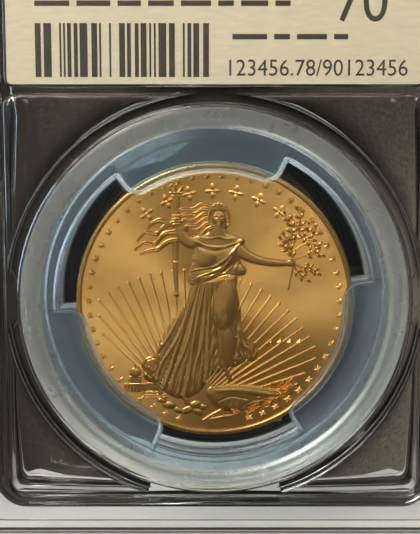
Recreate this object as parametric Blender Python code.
"""Graded coin slab: a sealed clear case that holds one bullion coin behind a printed label.

The slab stands upright on its bottom edge. X runs across its width, Y through its thickness with
the front at -Y, and Z upwards. The origin is the middle of the bottom edge, on the surface that
the slab stands on. The case is two moulded shells, welded all round by a tongue in a groove. They
hold two clear ring halves, which grip the coin's rim with three tabs, and the label above them.
"""
import math

import bmesh
import bpy
from mathutils import Matrix, Vector

# Driving dimensions, in metres.
SLAB_WIDTH = 0.063
SLAB_HEIGHT = 0.086
SLAB_DEPTH = 0.0086
CORNER_RADIUS = 0.0035
EDGE_ROUNDING = 0.0003
GAP = 0.0003

RIM_WIDTH = 0.0075
WINDOW_RECESS = 0.0005
WINDOW_THICKNESS = 0.0010
STACKING_STEP = 0.0015
SIDE_WALL = 0.0020
INNER_WALL = 0.0013
RIM_ROOF = 0.0013

TONGUE_WIDTH = 0.0006
TONGUE_HEIGHT = 0.0007

COIN_DIAMETER = 0.0327
COIN_THICKNESS = 0.00287
COIN_RIM_WIDTH = 0.0009
COIN_FIELD_DEPTH = 0.00025
REED_COUNT = 198
REED_DEPTH = 0.00015

RING_RADIUS = 0.02275
RING_WINDOW_RADIUS = 0.0190
RING_HOOP_WIDTH = 0.0011
RING_WEB_STEP = 0.0002
RING_SOCKET_WALL = 0.00115
TAB_OVERLAP = 0.00075
TAB_COUNT = 3
TAB_ANGLE = math.radians(62.0)
TAB_TURN = math.radians(5.5)
TAB_FILLET = 0.0016
WINDOW_FILLET = 0.0004

LABEL_WIDTH = 0.0470
LABEL_HEIGHT = 0.0226
LABEL_LEDGE = 0.0007
LABEL_WALL = 0.0009
LABEL_THICKNESS = 0.0003
TRAY_WALL = 0.0010
TRAY_INSET = 0.0006
SEAL_WIDTH = 0.0180
SEAL_HEIGHT = 0.0100
SEAL_THICKNESS = 0.0001

ROUND_SEGMENTS = 100
CORNER_SEGMENTS = 6
ARC_STEP = math.radians(3.6)
FULL_ARC_RADIUS = 0.004
OVERCUT = 0.0004

# Places that follow from them.
HALF_GAP = GAP / 2
OUTER_FACE = SLAB_DEPTH / 2
WINDOW_FACE = OUTER_FACE - WINDOW_RECESS
WINDOW_INSIDE = WINDOW_FACE - WINDOW_THICKNESS
RIM_INSIDE = OUTER_FACE - RIM_ROOF
WINDOW_WIDTH = SLAB_WIDTH - 2 * RIM_WIDTH
WINDOW_HEIGHT = SLAB_HEIGHT - 2 * RIM_WIDTH
MIDDLE_Z = SLAB_HEIGHT / 2
SOCKET_RADIUS = RING_RADIUS + GAP
SOCKET_OUTER = SOCKET_RADIUS + RING_SOCKET_WALL
COIN_Z = RIM_WIDTH - INNER_WALL + SOCKET_OUTER
LABEL_POCKET_BOTTOM = COIN_Z + SOCKET_OUTER + LABEL_LEDGE
LABEL_Z = LABEL_POCKET_BOTTOM + GAP + LABEL_HEIGHT / 2
RING_FACE = WINDOW_INSIDE - GAP
COIN_RADIUS = COIN_DIAMETER / 2
LABEL_FRONT = WINDOW_INSIDE - GAP
LABEL_BACK = LABEL_FRONT - LABEL_THICKNESS
TRAY_TOP = LABEL_BACK - GAP
FRONT = -1
BACK = 1
Z_TO_Y = Matrix(((1, 0, 0, 0), (0, 0, 1, 0), (0, -1, 0, 0), (0, 0, 0, 1)))


def clear_scene():
    for old in list(bpy.data.objects):
        bpy.data.objects.remove(old, do_unlink=True)


def make_collection(name):
    collection = bpy.data.collections.new(name)
    bpy.context.scene.collection.children.link(collection)
    return collection


def make_material(name, colour, roughness, metallic=0.0, alpha=1.0):
    material = bpy.data.materials.new(name)
    material.use_nodes = True
    shader = material.node_tree.nodes["Principled BSDF"]
    shader.inputs["Base Color"].default_value = (*colour, 1.0)
    shader.inputs["Roughness"].default_value = roughness
    shader.inputs["Metallic"].default_value = metallic
    shader.inputs["Alpha"].default_value = alpha
    return material


def make_object(name, shape, collection):
    mesh = bpy.data.meshes.new(name)
    shape.to_mesh(mesh)
    shape.free()
    piece = bpy.data.objects.new(name, mesh)
    collection.objects.link(piece)
    return piece


def make_cutter(name, shape):
    cutter = make_object(name, shape, cutters)
    cutter.hide_render = True
    cutter.display_type = "WIRE"
    return cutter


def boolean(piece, other, operation):
    modifier = piece.modifiers.new(other.name, "BOOLEAN")
    modifier.operation = operation
    modifier.solver = "EXACT"
    modifier.object = other


def cut(piece, other):
    boolean(piece, other, "DIFFERENCE")


def join(piece, other):
    boolean(piece, other, "UNION")


def finish(piece, material):
    piece.data.materials.append(material)
    piece.data.shade_smooth()
    piece.data.set_sharp_from_angle(angle=math.radians(30.0))


def edges_along_y(shape):
    """The edges that run through the slab's thickness."""
    found = []
    for edge in shape.edges:
        run = edge.verts[1].co - edge.verts[0].co
        if abs(run.x) < 1e-7 and abs(run.z) < 1e-7:
            found.append(edge)
    return found


def edges_at_depth(shape, depth):
    """The edges that lie in the plane y = depth."""
    found = []
    for edge in shape.edges:
        if all(abs(vert.co.y - depth) < 1e-7 for vert in edge.verts):
            found.append(edge)
    return found


def plate(width, height, start, end, middle_z, radius=0.0, rounded_face=None):
    """A slab of plastic between two depths, with round corners and, if asked, one soft face."""
    shape = bmesh.new()
    bmesh.ops.create_cube(shape, size=1.0)
    bmesh.ops.scale(shape, vec=(width, abs(end - start), height), verts=shape.verts)
    middle = Vector((0.0, (start + end) / 2, middle_z))
    bmesh.ops.translate(shape, vec=middle, verts=shape.verts)
    if radius > 0.0:
        bmesh.ops.bevel(
            shape,
            geom=edges_along_y(shape),
            offset=radius,
            offset_type="OFFSET",
            segments=CORNER_SEGMENTS,
            profile=0.5,
            affect="EDGES",
            material=-1,
        )
    if rounded_face is not None:
        bmesh.ops.bevel(
            shape,
            geom=edges_at_depth(shape, rounded_face),
            offset=EDGE_ROUNDING,
            offset_type="OFFSET",
            segments=2,
            profile=0.5,
            affect="EDGES",
            material=-1,
        )
    return shape


def drum(radius, start, end):
    """A cylinder on the coin's axis, between two depths."""
    shape = bmesh.new()
    place = Matrix.Translation((0.0, (start + end) / 2, COIN_Z))
    bmesh.ops.create_cone(
        shape,
        cap_ends=True,
        segments=ROUND_SEGMENTS,
        radius1=radius,
        radius2=radius,
        depth=abs(end - start),
        matrix=place @ Z_TO_Y,
    )
    return shape


def prism(outline, start, end):
    """A flat outline round the coin's axis, extruded between two depths."""
    shape = bmesh.new()
    corners = [shape.verts.new((x, start, z + COIN_Z)) for x, z in outline]
    face = shape.faces.new(corners)
    swept = bmesh.ops.extrude_face_region(shape, geom=[face])
    moved = [item for item in swept["geom"] if isinstance(item, bmesh.types.BMVert)]
    bmesh.ops.translate(shape, vec=(0.0, end - start, 0.0), verts=moved)
    bmesh.ops.recalc_face_normals(shape, faces=shape.faces)
    return shape


def make_frame_cutter(name, outer, inner, start, end, outer_radius, inner_radius):
    """A picture frame round the slab's middle, given as the sizes of its two outlines."""
    low, high = sorted((start, end))
    around = plate(*outer, low, high, MIDDLE_Z, outer_radius)
    within = plate(*inner, low - OVERCUT, high + OVERCUT, MIDDLE_Z, inner_radius)
    frame = make_cutter(name, around)
    cut(frame, make_cutter(name + "_middle", within))
    return frame


def make_seam(name, width, start, end):
    """A thin frame that runs along the middle of the side wall, for the welding seam."""
    outer = (SLAB_WIDTH - SIDE_WALL + width, SLAB_HEIGHT - SIDE_WALL + width)
    inner = (SLAB_WIDTH - SIDE_WALL - width, SLAB_HEIGHT - SIDE_WALL - width)
    corner = CORNER_RADIUS - SIDE_WALL / 2
    outer_radius = corner + width / 2
    inner_radius = corner - width / 2
    return make_frame_cutter(name, outer, inner, start, end, outer_radius, inner_radius)


def cut_perimeter_channel(shell, side):
    """The hollow inside the raised rim, between the side wall and the inner wall."""
    outer = (SLAB_WIDTH - 2 * SIDE_WALL, SLAB_HEIGHT - 2 * SIDE_WALL)
    inner = (WINDOW_WIDTH + 2 * INNER_WALL, WINDOW_HEIGHT + 2 * INNER_WALL)
    start = side * RIM_INSIDE
    end = side * (HALF_GAP - OVERCUT)
    radii = (CORNER_RADIUS - SIDE_WALL / 2, INNER_WALL)
    name = "front_rim_channel" if side == FRONT else "back_rim_channel"
    cut(shell, make_frame_cutter(name, outer, inner, start, end, *radii))


def cut_corner_hollows(shell, side):
    """The four hollows between the round socket and the square inner wall."""
    name = "front_corner_hollows" if side == FRONT else "back_corner_hollows"
    low, high = sorted((side * WINDOW_INSIDE, side * (HALF_GAP - OVERCUT)))
    top = LABEL_POCKET_BOTTOM - LABEL_WALL
    height = top - RIM_WIDTH
    middle = (top + RIM_WIDTH) / 2
    square = make_cutter(name, plate(WINDOW_WIDTH, height, low, high, middle, INNER_WALL))
    socket = drum(SOCKET_OUTER, low - OVERCUT, high + OVERCUT)
    cut(square, make_cutter(name + "_socket", socket))
    cut(shell, square)


def cut_socket(shell, side):
    """The round seat for one ring half."""
    name = "front_socket" if side == FRONT else "back_socket"
    low, high = sorted((side * WINDOW_INSIDE, side * (HALF_GAP - OVERCUT)))
    cut(shell, make_cutter(name, drum(SOCKET_RADIUS, low, high)))


def cut_label_pocket(shell, side):
    name = "front_label_pocket" if side == FRONT else "back_label_pocket"
    low, high = sorted((side * WINDOW_INSIDE, side * (HALF_GAP - OVERCUT)))
    width = LABEL_WIDTH + 2 * GAP
    height = LABEL_HEIGHT + 2 * GAP
    cut(shell, make_cutter(name, plate(width, height, low, high, LABEL_Z, GAP)))


def cut_outer_window(shell, side):
    """The shallow recess that keeps the clear window off whatever the slab lies on."""
    name = "front_window_recess" if side == FRONT else "back_window_recess"
    low, high = sorted((side * WINDOW_FACE, side * (OUTER_FACE + OVERCUT)))
    radius = CORNER_RADIUS / 2
    cut(shell, make_cutter(name, plate(WINDOW_WIDTH, WINDOW_HEIGHT, low, high, MIDDLE_Z, radius)))


def hollow_out(shell, side):
    cut_outer_window(shell, side)
    cut_socket(shell, side)
    cut_corner_hollows(shell, side)
    cut_label_pocket(shell, side)
    cut_perimeter_channel(shell, side)


def make_front_shell(material):
    """Front half: a ledge round its face takes the back lip of the next slab in a stack."""
    ledge = FRONT * WINDOW_FACE
    base = plate(SLAB_WIDTH, SLAB_HEIGHT, ledge, -HALF_GAP, MIDDLE_Z, CORNER_RADIUS, ledge)
    shell = make_object("front_shell", base, parts)
    rail_size = (SLAB_WIDTH - 2 * STACKING_STEP, SLAB_HEIGHT - 2 * STACKING_STEP)
    rail_radius = CORNER_RADIUS - STACKING_STEP
    face = FRONT * OUTER_FACE
    rail = plate(*rail_size, face, ledge + OVERCUT, MIDDLE_Z, rail_radius, face)
    join(shell, make_cutter("front_rail", rail))
    hollow_out(shell, FRONT)
    tongue_end = HALF_GAP + TONGUE_HEIGHT - GAP
    join(shell, make_seam("seam_tongue", TONGUE_WIDTH, -HALF_GAP - OVERCUT, tongue_end))
    finish(shell, material)


def add_label_tray(shell):
    """The four low walls on the back half that hold the label up behind its window."""
    outer = (LABEL_WIDTH - 2 * TRAY_INSET, LABEL_HEIGHT - 2 * TRAY_INSET)
    inner = (outer[0] - 2 * TRAY_WALL, outer[1] - 2 * TRAY_WALL)
    start = -TRAY_TOP
    end = WINDOW_INSIDE + OVERCUT
    wall = make_cutter("label_tray", plate(*outer, start, end, LABEL_Z, TRAY_WALL))
    middle = plate(*inner, start - OVERCUT, end + OVERCUT, LABEL_Z, TRAY_WALL / 2)
    cut(wall, make_cutter("label_tray_middle", middle))
    join(shell, wall)


def make_back_shell(material):
    """Back half: a lip round its face drops over the front ledge of the slab below it."""
    face = BACK * OUTER_FACE
    base = plate(SLAB_WIDTH, SLAB_HEIGHT, HALF_GAP, face, MIDDLE_Z, CORNER_RADIUS, face)
    shell = make_object("back_shell", base, parts)
    lip = STACKING_STEP - GAP
    nest_size = (SLAB_WIDTH - 2 * lip, SLAB_HEIGHT - 2 * lip)
    nest_start = face - WINDOW_RECESS + GAP / 2
    nest = plate(*nest_size, nest_start, face + OVERCUT, MIDDLE_Z, CORNER_RADIUS - lip)
    cut(shell, make_cutter("back_nest", nest))
    hollow_out(shell, BACK)
    groove_width = TONGUE_WIDTH + 2 * GAP
    groove_end = HALF_GAP + TONGUE_HEIGHT
    cut(shell, make_seam("seam_groove", groove_width, HALF_GAP - OVERCUT, groove_end))
    add_label_tray(shell)
    finish(shell, material)


def arc(centre, radius, start, end):
    """Points along an arc, both ends included, and fewer of them on a small fillet."""
    share = min(1.0, radius / FULL_ARC_RADIUS)
    count = max(3, math.ceil(abs(end - start) / ARC_STEP * share))
    points = []
    for step in range(count + 1):
        angle = start + (end - start) * step / count
        points.append(centre + Vector((math.cos(angle), math.sin(angle))) * radius)
    return points


def fillet_centre(radius, fillet, wall_angle, turn):
    """Where the arc sits that rounds a circle into the radial wall at wall_angle.

    radius is the distance from the coin's axis to the arc's centre, and turn is +1 where the arc
    lies clockwise of the wall and -1 where it lies anticlockwise. It also gives that bearing.
    """
    bearing = wall_angle - turn * math.asin(fillet / radius)
    return Vector((math.cos(bearing), math.sin(bearing))) * radius, bearing


def grip_outline():
    """The ring's inner outline: three tabs over the coin's rim and three windows between them."""
    axis = Vector((0.0, 0.0))
    tip = COIN_RADIUS - TAB_OVERLAP
    edge = RING_WINDOW_RADIUS
    quarter = math.radians(90.0)
    points = []
    for index in range(TAB_COUNT):
        middle = quarter + TAB_TURN + index * math.tau / TAB_COUNT
        first = middle - TAB_ANGLE / 2
        last = middle + TAB_ANGLE / 2
        following = first + math.tau / TAB_COUNT

        centre, tip_start = fillet_centre(tip + TAB_FILLET, TAB_FILLET, first, -1)
        points += arc(centre, TAB_FILLET, first - quarter, tip_start - 2 * quarter)
        centre, tip_end = fillet_centre(tip + TAB_FILLET, TAB_FILLET, last, 1)
        points += arc(axis, tip, tip_start, tip_end)[1:-1]
        points += arc(centre, TAB_FILLET, tip_end - 2 * quarter, last - 3 * quarter)

        centre, edge_start = fillet_centre(edge - WINDOW_FILLET, WINDOW_FILLET, last, -1)
        points += arc(centre, WINDOW_FILLET, last + 3 * quarter, edge_start + 4 * quarter)
        centre, edge_end = fillet_centre(edge - WINDOW_FILLET, WINDOW_FILLET, following, 1)
        points += arc(axis, edge, edge_start, edge_end)[1:-1]
        points += arc(centre, WINDOW_FILLET, edge_end, following + quarter)
    return [(point.x, point.y) for point in points]


def make_coin_ring(name, side, material):
    """One half of the clear ring: a hoop with a thinner web, whose tabs lap over the coin's rim."""
    low, high = sorted((side * RING_FACE, side * HALF_GAP))
    ring = make_object(name, drum(RING_RADIUS, low, high), parts)
    opening = prism(grip_outline(), low - OVERCUT, high + OVERCUT)
    cut(ring, make_cutter(name + "_opening", opening))
    web_face = side * (RING_FACE - RING_WEB_STEP)
    low, high = sorted((web_face, side * (RING_FACE + OVERCUT)))
    cut(ring, make_cutter(name + "_web", drum(RING_RADIUS - RING_HOOP_WIDTH, low, high)))
    pocket_face = side * (COIN_THICKNESS / 2 + GAP)
    low, high = sorted((pocket_face, side * (HALF_GAP - OVERCUT)))
    cut(ring, make_cutter(name + "_pocket", drum(COIN_RADIUS + GAP, low, high)))
    finish(ring, material)


def reeded_outline():
    """The coin's edge in plan: a groove and a ridge for every reed."""
    points = []
    for index in range(2 * REED_COUNT):
        angle = index * math.pi / REED_COUNT
        radius = COIN_RADIUS - (index % 2) * REED_DEPTH
        points.append((math.cos(angle) * radius, math.sin(angle) * radius))
    return points


def make_coin(material):
    """The coin: a reeded edge, a flat rim and a lower field on both faces."""
    half = COIN_THICKNESS / 2
    coin = make_object("coin", prism(reeded_outline(), -half, half), parts)
    field_radius = COIN_RADIUS - COIN_RIM_WIDTH
    for side, name in ((FRONT, "obverse_field"), (BACK, "reverse_field")):
        low, high = sorted((side * (half - COIN_FIELD_DEPTH), side * (half + OVERCUT)))
        cut(coin, make_cutter(name, drum(field_radius, low, high)))
    finish(coin, material)


def make_label(material):
    start = -LABEL_FRONT
    end = -LABEL_BACK
    shape = plate(LABEL_WIDTH, LABEL_HEIGHT, start, end, LABEL_Z, 2 * GAP)
    label = make_object("grading_label", shape, parts)
    finish(label, material)


def make_seal(material):
    """The foil seal behind the label, seen through the back window."""
    start = -LABEL_BACK + GAP
    shape = plate(SEAL_WIDTH, SEAL_HEIGHT, start, start + SEAL_THICKNESS, LABEL_Z, 0.0015)
    seal = make_object("security_seal", shape, parts)
    finish(seal, material)


clear_scene()
parts = make_collection("graded_coin_slab")
cutters = make_collection("cutters")
clear_plastic = make_material("clear_case_plastic", (0.78, 0.82, 0.84), 0.05, alpha=0.25)
ring_plastic = make_material("clear_ring_plastic", (0.70, 0.76, 0.80), 0.08, alpha=0.30)
gold = make_material("coin_gold", (0.72, 0.45, 0.16), 0.32, metallic=1.0)
paper = make_material("label_paper", (0.62, 0.58, 0.48), 0.70)
foil = make_material("seal_foil", (0.60, 0.62, 0.66), 0.20, metallic=1.0)
make_front_shell(clear_plastic)
make_back_shell(clear_plastic)
make_coin_ring("front_coin_ring", FRONT, ring_plastic)
make_coin_ring("back_coin_ring", BACK, ring_plastic)
make_coin(gold)
make_label(paper)
make_seal(foil)
